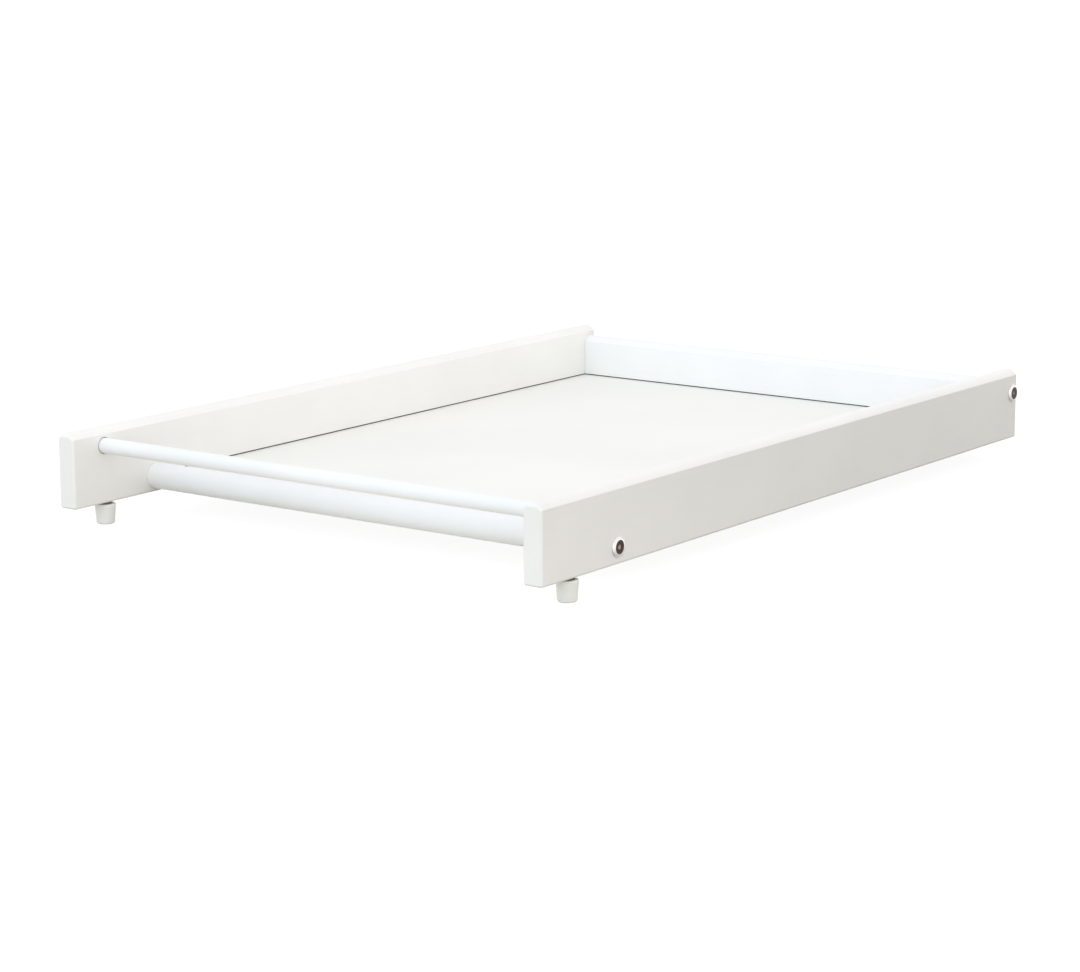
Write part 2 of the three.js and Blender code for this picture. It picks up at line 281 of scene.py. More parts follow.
def turned(name, rings, vertices, place):
    """A turned piece: a disc, raised along Z from ring to ring, and put in place."""
    radius, height = rings[0]
    bpy.ops.object.select_all(action="DESELECT")
    bpy.ops.mesh.primitive_circle_add(
        vertices=vertices, radius=radius, fill_type="NGON", location=(0, 0, height)
    )
    thing = settle(bpy.context.object, name)
    raised(thing, rings, (True, True, False))
    thing.matrix_world = place
    return settle(thing, name)


def arc(centre_radius, centre_height, radius, start, end):
    """Rings of a turned piece along a round, between two angles from the level."""
    angles = [start + (end - start) * step / EDGE_STEPS for step in range(EDGE_STEPS + 1)]
    return [(centre_radius + radius * cos(a), centre_height + radius * sin(a)) for a in angles]


def rod_rings(radius, length, ease):
    """Rings of a plain rod, centred, with rounded ends."""
    foot = arc(radius - ease, ease - length / 2, ease, -pi / 2, 0)
    head = arc(radius - ease, length / 2 - ease, ease, 0, pi / 2)
    return foot + head


def pin_rings(radius, length, chamfer):
    """Rings of a plain pin, centred, with chamfered ends."""
    return [
        (radius - chamfer, -length / 2),
        (radius, chamfer - length / 2),
        (radius, length / 2 - chamfer),
        (radius - chamfer, length / 2),
    ]


# Cutting and finishing

def bore(diameter, mouth, end, ease=MOUTH_EASE):
    """A cutter for a round bore, a little wider at the mouth, where the surface is eased."""
    run = Vector(end) - Vector(mouth)
    radius = diameter / 2
    eased = radius + ease
    rings = [(eased, -OVERRUN), (eased, 0), (radius, ease), (radius, run.length)]
    place = Matrix.Translation(mouth) @ along(run)
    return turned("cutter", rings, SMALL_ROUND, place)


def cross_bore(diameter, axis, mouth_x, end_x, ease=MOUTH_EASE):
    """A cutter for a bore that runs along X."""
    return bore(diameter, (mouth_x, axis.y, axis.z), (end_x, axis.y, axis.z), ease)


def bolt_bore(outward, axis, mouth_x):
    """A cutter for the bore that takes the threaded end of a bolt."""
    end_x = outward * (OUTER_X - BOLT_LENGTH - BOLT_BORE_SPARE)
    return cross_bore(BOLT_BORE, axis, mouth_x, end_x)


def cut(thing, cutters, operation="DIFFERENCE"):
    """Takes each cutter out of a thing, and removes the cutter."""
    for cutter in cutters:
        only(thing)
        modifier = thing.modifiers.new("cut", "BOOLEAN")
        modifier.operation = operation
        modifier.solver = "EXACT"
        modifier.object = cutter
        bpy.ops.object.modifier_apply(modifier=modifier.name)
        bpy.data.objects.remove(cutter)


def smooth(thing, angle=SMOOTH_ANGLE):
    """Welds the slivers that cuts leave, and shades smooth up to an angle, led by the large
    faces."""
    edit(thing)
    bpy.ops.mesh.select_all(action="SELECT")
    bpy.ops.mesh.remove_doubles(threshold=WELD)
    done()
    only(thing)
    bpy.ops.object.shade_smooth_by_angle(angle=radians(angle), keep_sharp_edges=False)
    modifier = thing.modifiers.new("normals", "WEIGHTED_NORMAL")
    modifier.keep_sharp = True
    bpy.ops.object.modifier_apply(modifier=modifier.name)


def hand_in(thing, node, finish):
    """Gives a finished piece its finish, and puts it in place of its CAD node."""
    thing.data.materials.clear()
    thing.data.materials.append(finish)
    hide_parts(node)
    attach(thing, "root")


# Boards

def board_layers(thickness, height):
    """The section of a planed board: round feet, upright faces and an arched top, which ends in a
    flat of one narrow strip."""
    face = thickness / 2
    layers = arc(face - FOOT_RADIUS, FOOT_RADIUS, FOOT_RADIUS, -pi / 2, 0)
    for step in range(CROWN_STEPS + 1):
        share = 1 - step / (CROWN_STEPS + 0.5)
        layers.append((face * share, height - CROWN_RISE * share ** CROWN_POWER))
    return layers


def board(name, low, high, end_ease, end_profile=0.5):
    """A planed board along Y, raised from a strip on its underside. Its ends are rounded, and then
    the arris where arch and face meet is eased all the way round."""
    layers = board_layers(high.x - low.x, high.z - low.z)
    bpy.ops.object.select_all(action="DESELECT")
    bpy.ops.mesh.primitive_plane_add(size=1)
    thing = bpy.context.object
    thing.scale = (2 * layers[0][0], high.y - low.y, 1)
    settle(thing, name)
    raised(thing, layers, (True, False, False))
    end_y = (high.y - low.y) / 2
    edit(thing)
    choose_faces(thing, lambda at, normal: facing(abs(normal.y)))
    bpy.ops.mesh.dissolve_faces()
    choose_edges(thing, lambda a, b: near(abs(a.y), end_y) and near(a.y, b.y))
    bevel(end_ease, EDGE_STEPS, end_profile)
    bpy.ops.mesh.select_all(action="DESELECT")
    bpy.ops.mesh.edges_select_sharp(sharpness=radians(ARRIS_ANGLE))
    bevel(ARRIS_EASE, EASE_STEPS)
    done()
    thing.location = ((low.x + high.x) / 2, (low.y + high.y) / 2, low.z)
    return settle(thing, name)


def roll_over(rail, low, high):
    """Rolls the arch of a rail over at both ends, down to a level line across its end faces."""
    spare = Vector((OVERRUN, CUTTER_SPARE, CUTTER_SPARE))
    keep = block("keep", low - spare, high + spare)
    top_z = high.z + CUTTER_SPARE
    edit(keep)
    choose_edges(keep, lambda a, b: near(a.z, top_z) and near(b.z, top_z) and near(a.y, b.y))
    bevel(ROLL_RADIUS, ROLL_STEPS, ROLL_PROFILE)
    done()
    cut(rail, [keep], "INTERSECT")


def stopped_groove(side):
    """The cutter of a rail's groove, with the round ends that a router leaves. The two rounds of
    an end stop just short of meeting."""
    outward = SIDES[side]
    floor_x = outward * (INNER_X + GROOVE_DEPTH)
    mouth_x = outward * (INNER_X - OVERRUN)
    low_z = panel_box[0].z
    back_y = panel_box[1].y + OVERRUN + GROOVE_WIDTH / 2
    groove = block(
        "cutter",
        (min(floor_x, mouth_x), groove_front(side), low_z),
        (max(floor_x, mouth_x), back_y, low_z + GROOVE_WIDTH),
    )
    edit(groove)
    choose_edges(groove, lambda a, b: near(a.y, b.y) and near(a.z, b.z))
    bevel(GROOVE_WIDTH / 2 * GROOVE_END_SHARE, 2 * EDGE_STEPS)
    done()
    return groove


def side_rail(side):
    outward = SIDES[side]
    low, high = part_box(f"{side}_side_rail")
    rail = board(f"{side}_rail", low, high, RAIL_END_RADIUS, RAIL_END_PROFILE)
    roll_over(rail, low, high)
    inner_x = outward * INNER_X
    past_x = outward * (OUTER_X + OVERRUN)
    cutters = [stopped_groove(side)]
    for place in ("front", "back"):
        cutters.append(cross_bore(BOLT_BORE, bolt_axis(side, place), inner_x, past_x))

    socket = upper_bar_box[1].z - upper_bar_box[0].z + 2 * SOCKET_GAP
    socket_end = outward * (INNER_X + SOCKET_DEPTH)
    bar = middle("upper_front_bar")
    cutters.append(cross_bore(socket, bar, inner_x, socket_end, SOCKET_EASE))

    dowel_end = dowel_ends(side)[1] + outward * FIT_GAP
    cutters.append(cross_bore(DOWEL_BORE, middle(f"{side}_dowel"), inner_x, dowel_end))

    peg_at = middle(f"{side}_peg")
    spigot_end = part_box(f"{side}_peg")[1].z + 2 * FIT_GAP
    foot = (peg_at.x, peg_at.y, FOOT_Z)
    cutters.append(bore(PEG_SPIGOT + 2 * FIT_GAP, foot, (peg_at.x, peg_at.y, spigot_end)))
    cut(rail, cutters)
    smooth(rail)
    return rail


def back_board():
    """Made along Y as a rail is, then turned to lie between the rails."""
    low, high = board_box
    reach = INNER_X - BUTT_GAP
    half = (high.y - low.y) / 2
    plank_low = Vector((-half, -reach, low.z))
    plank_high = Vector((half, reach, high.z))
    plank = board("back_plank", plank_low, plank_high, BUTT_EASE)
    place = Matrix.Translation((0, middle("back_board").y, 0))
    plank.matrix_world = place @ Matrix.Rotation(-pi / 2, 4, "Z")
    settle(plank, "back_plank")
    groove = block(
        "cutter",
        (-INNER_X - OVERRUN, low.y - OVERRUN, panel_box[0].z),
        (INNER_X + OVERRUN, low.y + GROOVE_DEPTH, panel_box[0].z + GROOVE_WIDTH),
    )
    cutters = [groove]
    for side, outward in SIDES.items():
        end_x = outward * reach
        cutters.append(bolt_bore(outward, bolt_axis(side, "back"), end_x))
        dowel_end = dowel_ends(side)[0] - outward * FIT_GAP
        cutters.append(cross_bore(DOWEL_BORE, middle(f"{side}_dowel"), end_x, dowel_end))
        nut = middle(f"back_{side}_barrel_nut")
        nut_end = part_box(f"back_{side}_barrel_nut")[0].y - FIT_GAP
        cutters.append(bore(NUT_BORE, (nut.x, high.y, nut.z), (nut.x, nut_end, nut.z)))
    cut(plank, cutters)
    smooth(plank)
    return plank


def base_panel():
    """A thin sheet whose sides are pulled out into tongues, and its front into a nose between the
    notched corners. Its outer edges are eased."""
    low, high = panel_box
    nose_x = INNER_X - OVERRUN
    tongue_y = groove_front("right") + GROOVE_WIDTH / 2
    sheet = block("panel_sheet", (-nose_x, tongue_y, low.z), (nose_x, high.y, high.z))
    edit(sheet)
    for outward in SIDES.values():
        choose_faces(sheet, lambda at, normal: facing(normal.x * outward))
        reach = outward * (high.x - nose_x)
        bpy.ops.mesh.extrude_region_move(TRANSFORM_OT_translate={"value": (reach, 0, 0)})
    choose_faces(sheet, lambda at, normal: facing(-normal.y) and near(at.x, 0))
    bpy.ops.mesh.extrude_region_move(TRANSFORM_OT_translate={"value": (0, low.y - tongue_y, 0)})
    outwards()

    def outer(a, b):
        """Level edges, apart from the lines from which the tongues and the nose were pulled."""
        tongue_foot = near(abs(a.x), nose_x) and near(a.x, b.x) and max(a.y, b.y) > tongue_y + MM
        nose_foot = near(a.y, tongue_y) and near(b.y, tongue_y) and abs(a.x + b.x) < MM
        return near(a.z, b.z) and not tongue_foot and not nose_foot

    choose_edges(sheet, outer)
    bevel(PANEL_EASE, EASE_STEPS)
    done()
    smooth(sheet)
    return sheet


# Bars

def lower_front_bar():
    low, high = lower_bar_box
    radius = (high.z - low.z) / 2
    reach = INNER_X - BUTT_GAP
    axis = Vector((0, bolt_axis("right", "front").y, middle("lower_front_bar").z))
    place = Matrix.Translation(axis) @ along((1, 0, 0))
    bar = turned("lower_bar", rod_rings(radius, 2 * reach, BUTT_EASE), ROUND, place)
    slot = block(
        "cutter",
        (-INNER_X - OVERRUN, axis.y + radius - BAR_SLOT_DEPTH, panel_box[0].z),
        (INNER_X + OVERRUN, axis.y + radius + OVERRUN, panel_box[0].z + GROOVE_WIDTH),
    )
    cutters = [slot]
    for side, outward in SIDES.items():
        cutters.append(bolt_bore(outward, axis, outward * reach))
        nut_x = middle(f"front_{side}_barrel_nut").x
        nut_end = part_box(f"front_{side}_barrel_nut")[1].z + FIT_GAP
        cutters.append(bore(NUT_BORE, (nut_x, axis.y, low.z), (nut_x, axis.y, nut_end)))
    cut(bar, cutters)
    smooth(bar)
    return bar


def upper_front_bar():
    low, high = upper_bar_box
    radius = (high.z - low.z) / 2
    place = Matrix.Translation(middle("upper_front_bar")) @ along((1, 0, 0))
    bar = turned("upper_bar", rod_rings(radius, high.x - low.x, 2 * BUTT_EASE), ROUND, place)
    smooth(bar)
    return bar


# Pegs

def peg(side):
    low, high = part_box(f"{side}_peg")
    at = middle(f"{side}_peg")
    tip, shoulder = PEG_TIP / 2, PEG_SHOULDER / 2
    collar, spigot = PEG_COLLAR / 2, PEG_SPIGOT / 2
    collar_top = PEG_BODY_HEIGHT + PEG_COLLAR_HEIGHT
    top = high.z - low.z
    tip_ease, shoulder_ease = PEG_TIP_RADIUS, PEG_SHOULDER_RADIUS
    rings = arc(tip - tip_ease, tip_ease, tip_ease, -pi / 2, 0)
    rings += arc(
        shoulder - shoulder_ease, PEG_BODY_HEIGHT - shoulder_ease, shoulder_ease, 0, pi / 2
    )
    rings += [(collar, PEG_BODY_HEIGHT), (collar, collar_top), (spigot, collar_top)]
    rings += [(spigot, top - PEG_SPIGOT_CHAMFER), (spigot - PEG_SPIGOT_CHAMFER, top)]
    place = Matrix.Translation((at.x, at.y, low.z))
    piece = turned(f"{side}_moulded_peg", rings, ROUND, place)
    smooth(piece)
    return piece


# Fasteners

def thread_ridge(root, crest, tip_z):
    """The helical ridge of a thread, swept from a triangle whose foot is sunk into the core."""
    half = THREAD_FOOT / 2
    sunk = root - THREAD_SUNK
    corners = ((sunk, -half), (crest, 0), (sunk, half))
    bpy.ops.object.select_all(action="DESELECT")
    bpy.ops.mesh.primitive_circle_add(vertices=len(corners), radius=crest, fill_type="NOTHING")
    ridge = settle(bpy.context.object, "ridge")
    for vert, (x, z) in zip(ridge.data.vertices, corners):
        vert.co = (x, 0, tip_z + half + z)
    screw = ridge.modifiers.new("screw", "SCREW")
    screw.axis = "Z"
    screw.angle = 2 * pi
    screw.screw_offset = THREAD_PITCH
    screw.iterations = round(THREAD_LENGTH / THREAD_PITCH)
    screw.steps = screw.render_steps = SMALL_ROUND // 2
    bpy.ops.object.modifier_apply(modifier=screw.name)
    edit(ridge)
    bpy.ops.mesh.select_all(action="SELECT")
    bpy.ops.mesh.fill_holes(sides=0)
    outwards()
    done()
    return ridge


def connector_bolt():
    """A bolt along Z with the seat of its head at the origin: a threaded end, a plain shank, and a
    low head with a rounded bevel round its flat face, and a hexagon socket."""
    head, face, shank = BOLT_HEAD / 2, BOLT_FACE / 2, BOLT_SHANK / 2
    root = shank - THREAD_DEPTH
    tip_z = -BOLT_LENGTH
    thread_z = tip_z + BOLT_TIP + THREAD_LENGTH + THREAD_PITCH
    rings = [(root - BOLT_TIP, tip_z), (root, tip_z + BOLT_TIP), (root, thread_z)]
    rings += [(shank, thread_z + THREAD_DEPTH), (shank, 0)]
    rings += [(head - BOLT_HEAD_EASE, 0), (head, BOLT_HEAD_EASE)]
    rise = BOLT_HEAD_HEIGHT - BOLT_HEAD_RIM
    steps = 2 * EDGE_STEPS
    for step in range(steps + 1):
        angle = pi / 2 * step / steps
        rings.append((face + (head - face) * cos(angle), BOLT_HEAD_RIM + rise * sin(angle)))
    bolt = turned("bolt_pattern", rings, ROUND, Matrix.Identity(4))
    corner = BOLT_SOCKET_WIDTH / sqrt(3)
    socket_rings = [
        (corner, BOLT_HEAD_HEIGHT - BOLT_SOCKET_DEPTH),
        (corner, BOLT_HEAD_HEIGHT - BOLT_SOCKET_MOUTH),
        (corner + 2 * BOLT_SOCKET_MOUTH, BOLT_HEAD_HEIGHT + BOLT_SOCKET_MOUTH),
    ]
    cut(bolt, [turned("cutter", socket_rings, HEXAGON, Matrix.Identity(4))])
    cut(bolt, [thread_ridge(root, shank, tip_z + BOLT_TIP)], "UNION")
    smooth(bolt, BOLT_SMOOTH_ANGLE)
    return bolt


def barrel_nut():
    """A barrel nut along Z, with its cross hole along X and a driver slot in its upper end."""
    low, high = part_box("front_right_barrel_nut")
    length = high.z - low.z
    radius = (high.x - low.x) / 2
    rings = pin_rings(radius, length, NUT_CHAMFER)
    nut = turned("nut_pattern", rings, SMALL_ROUND, Matrix.Identity(4))
    hole_radius = BOLT_SHANK / 2 + NUT_HOLE_GAP
    mouth_radius = hole_radius + NUT_HOLE_CHAMFER
    mouth_x = radius - NUT_HOLE_SUNK
    hole_x = mouth_x - NUT_HOLE_CHAMFER
    hole_rings = [
        (mouth_radius, -radius - OVERRUN),
        (mouth_radius, -mouth_x),
        (hole_radius, -hole_x),
        (hole_radius, hole_x),
        (mouth_radius, mouth_x),
        (mouth_radius, radius + OVERRUN),
    ]
    hole = turned("cutter", hole_rings, SMALL_ROUND, along((1, 0, 0)))
    slot = block(
        "cutter",
        (-radius - OVERRUN, -NUT_SLOT_WIDTH / 2, length / 2 - NUT_SLOT_DEPTH),
        (radius + OVERRUN, NUT_SLOT_WIDTH / 2, length / 2 + OVERRUN),
    )
    cut(nut, [hole, slot])
    smooth(nut)
    return nut


def dowel():
    """A fluted dowel along Z, centred."""
    low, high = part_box("right_dowel")
    radius = (high.z - low.z) / 2
    rings = pin_rings(radius, high.x - low.x, DOWEL_CHAMFER)
    vertices = FLUTE_VERTICES * DOWEL_FLUTES
    rod = turned("dowel_pattern", rings, vertices, Matrix.Identity(4))

    def in_flute(at):
        """Vertices in the middle of a flute, but not on the chamfers."""
        flute = atan2(at.y, at.x) / (2 * pi) * DOWEL_FLUTES
        in_middle = abs(flute - round(flute)) < 0.5 / FLUTE_VERTICES
        return in_middle and at.xy.length > radius - DOWEL_CHAMFER / 2

    edit(rod)
    choose_vertices(rod, in_flute)
    share = 1 - DOWEL_FLUTE_DEPTH / radius
    bpy.ops.transform.resize(value=(share, share, 1), center_override=(0, 0, 0))
    done()
    smooth(rod, DOWEL_SMOOTH_ANGLE)
    return rod


def copy_of(pattern, name, place):
    """A copy with a mesh of its own, put in place."""
    thing = pattern.copy()
    thing.data = pattern.data.copy()
    bpy.context.scene.collection.objects.link(thing)
    thing.matrix_world = place
    return settle(thing, name)


# Finishes

class Wire:
    """An output socket that takes part in arithmetic by adding Math nodes."""

    def __init__(self, paint, socket):
        self.paint = paint
        self.socket = socket

    def math(self, operation, a, b=None):
        inputs = {0: a} if b is None else {0: a, 1: b}
        return self.paint.node("ShaderNodeMath", {"operation": operation}, inputs)

    def __add__(self, other):
        return self.math("ADD", self, other)

    __radd__ = __add__

    def __sub__(self, other):
        return self.math("SUBTRACT", self, other)

    def __rsub__(self, other):
        return self.math("SUBTRACT", other, self)

    def __mul__(self, other):
        return self.math("MULTIPLY", self, other)

    __rmul__ = __mul__

    def __pow__(self, other):
        return self.math("POWER", self, other)

    def __lt__(self, other):
        return self.math("LESS_THAN", self, other)

    def __gt__(self, other):
        return self.math("GREATER_THAN", self, other)

    def __abs__(self):
        return self.math("ABSOLUTE", self)

    def at_least(self, other):
        return self.math("MAXIMUM", self, other)


class Paint:
    """The nodes of one finish, or of the world."""

    def __init__(self, name, world=False):
        holder = bpy.data.worlds if world else bpy.data.materials
        self.block = holder.new(name)
        self.block.use_nodes = True
        self.tree = self.block.node_tree
        self.tree.nodes.clear()

    def node(self, kind, settings=None, inputs=None, output=0):
        made = self.tree.nodes.new(kind)
        for key, value in (settings or {}).items():
            if key == "stops":
                ramp = made.color_ramp
                while len(ramp.elements) < len(value):
                    ramp.elements.new(0.5)
                for element, (position, colour) in zip(ramp.elements, value):
                    element.position = position
                    element.color = (*colour, 1)
            else:
                setattr(made, key, value)
        for key, value in (inputs or {}).items():
            socket = made.inputs[key]
            if isinstance(value, Wire):
                self.tree.links.new(value.socket, socket)
            elif hasattr(value, "__len__") and len(value) == 3 and len(socket.default_value) == 4:
                socket.default_value = (*value, 1)
            else:
                socket.default_value = value
        return Wire(self, made.outputs[output]) if made.outputs else None

    def place(self):
        return self.node("ShaderNodeTexCoord", output="Object")

    def direction(self):
        """The way a ray looks out into the world."""
        return self.node("ShaderNodeTexCoord", output="Generated")

    def seen_or_mirrored(self):
        """1 on rays from the camera, from a glossy surface or through glass, and 0 on the rest."""
        camera, glossy, through = (
            self.node("ShaderNodeLightPath", output=f"Is {kind} Ray")
            for kind in ("Camera", "Glossy", "Transmission")
        )
        return camera + glossy + through > 0.5

    def parts(self, vector):
        split = self.tree.nodes.new("ShaderNodeSeparateXYZ")
        self.tree.links.new(vector.socket, split.inputs[0])
        return [Wire(self, split.outputs[axis]) for axis in "XYZ"]

    def stretched(self, vector, scale):
        return self.node("ShaderNodeMapping", None, {"Vector": vector, "Scale": scale})

    def noise(self, vector, scale, detail=2.0, roughness=0.5):
        inputs = {"Vector": vector, "Scale": scale, "Detail": detail, "Roughness": roughness}
        return self.node("ShaderNodeTexNoise", None, inputs)

    def range(self, value, low, high):
        """0 at low, 1 at high, and a soft rise between them."""
        inputs = {"Value": value, "From Min": low, "From Max": high}
        return self.node("ShaderNodeMapRange", {"interpolation_type": "SMOOTHSTEP"}, inputs)

    def mix(self, factor, a, b):
        inputs = {"Factor": factor, 6: a, 7: b}
        return self.node("ShaderNodeMix", {"data_type": "RGBA"}, inputs, output=2)

    def joint_shade_mask(self, at):
        """Where shade is painted: 1 inside the grooves that hold the panel and the sockets of the
        upper bar, and 0 at the faces of the boards."""
        x, y, z = self.parts(at)
        across = abs(x)
        low_z = panel_box[0].z
        front_y = board_box[0].y
        in_reach = (z > low_z - GROOVE_SHADE) * (z < low_z + GROOVE_WIDTH + GROOVE_SHADE)
        in_reach = in_reach * (y > lower_bar_box[0].y) * (y < panel_box[1].y + 2 * OVERRUN)
        past_face = self.range(across, INNER_X, INNER_X + GROOVE_SHADE)
        before_floor = across < INNER_X + GROOVE_DEPTH + GROOVE_SHADE
        in_rail = past_face * before_floor
        in_board = self.range(y, front_y, front_y + GROOVE_SHADE) * before_floor
        in_board = in_board * (y < front_y + GROOVE_DEPTH + GROOVE_SHADE)
        bar = middle("upper_front_bar")
        socket = (upper_bar_box[1].z - upper_bar_box[0].z) / 2 + SOCKET_GAP + GROOVE_SHADE
        off_axis = (y - bar.y) * (y - bar.y) + (z - bar.z) * (z - bar.z)
        in_socket = (off_axis < socket * socket) * past_face
        in_socket = in_socket * (across < INNER_X + SOCKET_DEPTH + GROOVE_SHADE)
        return (in_reach * in_rail.at_least(in_board)).at_least(in_socket)

    def bump(self, height, depth, strength):
        inputs = {"Height": height, "Distance": depth, "Strength": strength}
        return self.node("ShaderNodeBump", None, inputs)

    def shade(self, **inputs):
        named = {key.replace("_", " "): value for key, value in inputs.items()}
        shader = self.node("ShaderNodeBsdfPrincipled", None, named)
        self.node("ShaderNodeOutputMaterial", None, {"Surface": shader})
        return self.block

    def matt(self, colour):
        return self.node("ShaderNodeBsdfDiffuse", None, {"Color": colour})

    def sky(self, colour, level):
        return self.node("ShaderNodeBackground", None, {"Color": colour, "Strength": level})

    def together(self, a, b):
        """The light of two shaders, added."""
        return self.node("ShaderNodeAddShader", None, {0: a, 1: b})

    def instead(self, factor, a, b):
        """The first shader where the factor is 0, and the second where it is 1."""
        return self.node("ShaderNodeMixShader", None, {"Fac": factor, 1: a, 2: b})


def srgb(red, green, blue):
    """A colour given in screen values from 0 to 255, as linear light."""
    def linear(value):
        share = value / 255
        return share / 12.92 if share <= 0.04045 else ((share + 0.055) / 1.055) ** 2.4
    return tuple(linear(value) for value in (red, green, blue))


WHITE = (1, 1, 1)
# Painted shade: the dark colour painted inside the grooves and sockets and in the gap above each
# peg
PAINTED_SHADE_COLOUR = (0.2, 0.2, 0.195)
GROOVE_SHADE = 0.5 * MM
LACQUER_IOR = 1.4
PLASTIC_IOR = 1.46


def white_lacquer(name, grain, dark=(238, 237, 233), light=(243, 242, 238)):
    """Satin lacquer on planed wood: faint drift of tone, an orange peel from the spray gun, and a
    trace of the grain under it, which runs along the piece. Shade is painted dark inside the
    grooves and sockets."""
    paint = Paint(name)
    at = paint.place()
    drift = paint.noise(at, scale=9, detail=3)
    peel = paint.noise(at, scale=650)
    pores = paint.noise(paint.stretched(at, grain), scale=420, detail=3, roughness=0.6)
    tone = paint.range(drift * 0.8 + pores * 0.2, low=0.3, high=0.7)
    lacquer = paint.mix(tone, srgb(*dark), srgb(*light))
    return paint.shade(
        Base_Color=paint.mix(paint.joint_shade_mask(at), lacquer, PAINTED_SHADE_COLOUR),
        Roughness=0.32 + 0.1 * drift,
        IOR=LACQUER_IOR,
        Normal=paint.bump(peel * 0.7 + pores * 0.3, depth=0.03 * MM, strength=0.5),
    )


def white_panel():
    """The smooth coating of the thin panel, with the fine stipple that a roller leaves, and painted
    shade where it sits in the grooves.
    """
    paint = Paint("white_panel_coat")
    at = paint.place()
    drift = paint.noise(at, scale=5, detail=3)
    stipple = paint.noise(at, scale=1100)
    tone = paint.range(drift, low=0.3, high=0.7)
    coat = paint.mix(tone, srgb(240, 240, 234), srgb(244, 243, 237))
    return paint.shade(
        Base_Color=paint.mix(paint.joint_shade_mask(at), coat, PAINTED_SHADE_COLOUR),
        Roughness=0.36 + 0.08 * drift,
        IOR=LACQUER_IOR,
        Normal=paint.bump(stipple, depth=0.02 * MM, strength=0.5),
    )


# Painted shade in the narrow gap between a peg's shoulder and the rail
PEG_GAP_SHADE = 2.5 * MM
PEG_TOP_SHADE = 0.1 * MM


def moulded_white():
    """Satin moulded plastic, with the fine spark texture of its mould and a faint flow drift. Shade
    is painted dark deep in the narrow gap between its shoulder and the rail."""
    paint = Paint("moulded_white")
    at = paint.place()
    grit = paint.noise(at, scale=2600)
    drift = paint.noise(at, scale=60)
    x, y, z = paint.parts(at)
    out = abs(x)
    axis = middle("right_peg")
    across = (out - axis.x) * (out - axis.x) + (y - axis.y) * (y - axis.y)
    painted_gap_shade = paint.range(z, PEG_BODY_HEIGHT - PEG_TOP_SHADE, PEG_BODY_HEIGHT)
    painted_gap_shade = painted_gap_shade * paint.range(across ** 0.5, PEG_COLLAR / 2 + PEG_GAP_SHADE, PEG_COLLAR / 2)
    white = paint.mix(drift, srgb(237, 237, 232), srgb(242, 242, 237))
    return paint.shade(
        Base_Color=paint.mix(painted_gap_shade, white, PAINTED_SHADE_COLOUR),
        Roughness=0.42 + 0.08 * grit,
        IOR=PLASTIC_IOR,
        Normal=paint.bump(grit, depth=0.02 * MM, strength=0.6),
    )


# Zones of a bolt's head, where its flat and its lower side are painted darker as painted
# reflections
FACE_OUTER = BOLT_FACE / 2 + 0.1 * MM
FACE_INNER = BOLT_FACE / 2 - 0.15 * MM
FACE_DEPTH_FADE = 0.3 * MM
SOCKET_BARE_FROM = 0.3 * MM
SOCKET_BARE_TO = 0.6 * MM
PAINTED_REFLECTION_TOP = 0.15 * BOLT_HEAD
PAINTED_REFLECTION_FOOT = -0.35 * BOLT_HEAD


def bright_nickel(name, axis, face_x):
    """Bright nickel plate, with its lower side painted darker as a painted reflection of shade. The
    flat of the head is painted dark brown as a painted reflection, and its socket is half bare."""
    paint = Paint(name)
    at = paint.place()
    x, y, z = paint.parts(at)
    out = abs(x)
    radius = ((y - axis.y) * (y - axis.y) + (z - axis.z) * (z - axis.z)) ** 0.5
    on_face = paint.range(radius, FACE_OUTER, FACE_INNER)
    floor_x = face_x - BOLT_SOCKET_DEPTH
    on_top = paint.range(out, floor_x - FACE_DEPTH_FADE, floor_x)
    in_socket = paint.range(out, face_x - SOCKET_BARE_FROM, face_x - SOCKET_BARE_TO)
    brushed = paint.noise(at, scale=1800, detail=3)
    # Painted reflection of shade, darkening the lower side of the plate
    painted_lower_reflection = paint.range(z - axis.z, PAINTED_REFLECTION_TOP, PAINTED_REFLECTION_FOOT)
    plate = paint.mix(brushed, (0.88, 0.87, 0.86), (0.96, 0.95, 0.94))
    plate = paint.mix(painted_lower_reflection, plate, (0.5, 0.46, 0.47))
    # Painted reflection: the flat of the head painted dark brown
    painted_face_reflection = paint.mix(brushed, (0.045, 0.029, 0.02), (0.068, 0.045, 0.032))
    dark = paint.mix(in_socket, painted_face_reflection, (0.75, 0.7, 0.66))
    return paint.shade(
        Base_Color=paint.mix(on_face * on_top, plate, dark),
        Metallic=1.0,
        Roughness=0.16 + 0.14 * brushed + 0.1 * on_face,
        Normal=paint.bump(brushed, depth=0.01 * MM, strength=0.4),
    )


def zinc_plate():
    """Dull zinc plate, cloudy from the bath."""
    paint = Paint("zinc_bath")
    at = paint.place()
    cloud = paint.noise(at, scale=300, detail=3)
    grit = paint.noise(at, scale=3000)
    return paint.shade(
        Base_Color=paint.mix(cloud, (0.42, 0.44, 0.47), (0.58, 0.57, 0.54)),
        Metallic=1.0,
        Roughness=0.32 + 0.2 * cloud,
        Normal=paint.bump(grit, depth=0.02 * MM, strength=0.4),
    )


BEECH_STOPS = (
    (0.3, srgb(196, 152, 106)),
    (0.5, srgb(214, 176, 130)),
    (0.75, srgb(226, 194, 150)),
)
BEECH_FLECK = srgb(150, 104, 66)


def bare_beech():
    """Bare beech, with its grain along X and the short dark flecks of its rays."""
    paint = Paint("beech")
    at = paint.place()
    grain = paint.noise(paint.stretched(at, (0.04, 1, 1)), scale=900, detail=4, roughness=0.6)
    rays = paint.noise(paint.stretched(at, (0.3, 1, 1)), scale=2600, detail=1)
    flecks = paint.range(rays, low=0.6, high=0.68)
    wood = paint.node("ShaderNodeValToRGB", {"stops": BEECH_STOPS}, {"Fac": grain})
    return paint.shade(
        Base_Color=paint.mix(flecks, wood, BEECH_FLECK),
        Roughness=0.68 + 0.12 * grain,
        Normal=paint.bump(grain, depth=0.05 * MM, strength=0.5),
    )


# The pieces

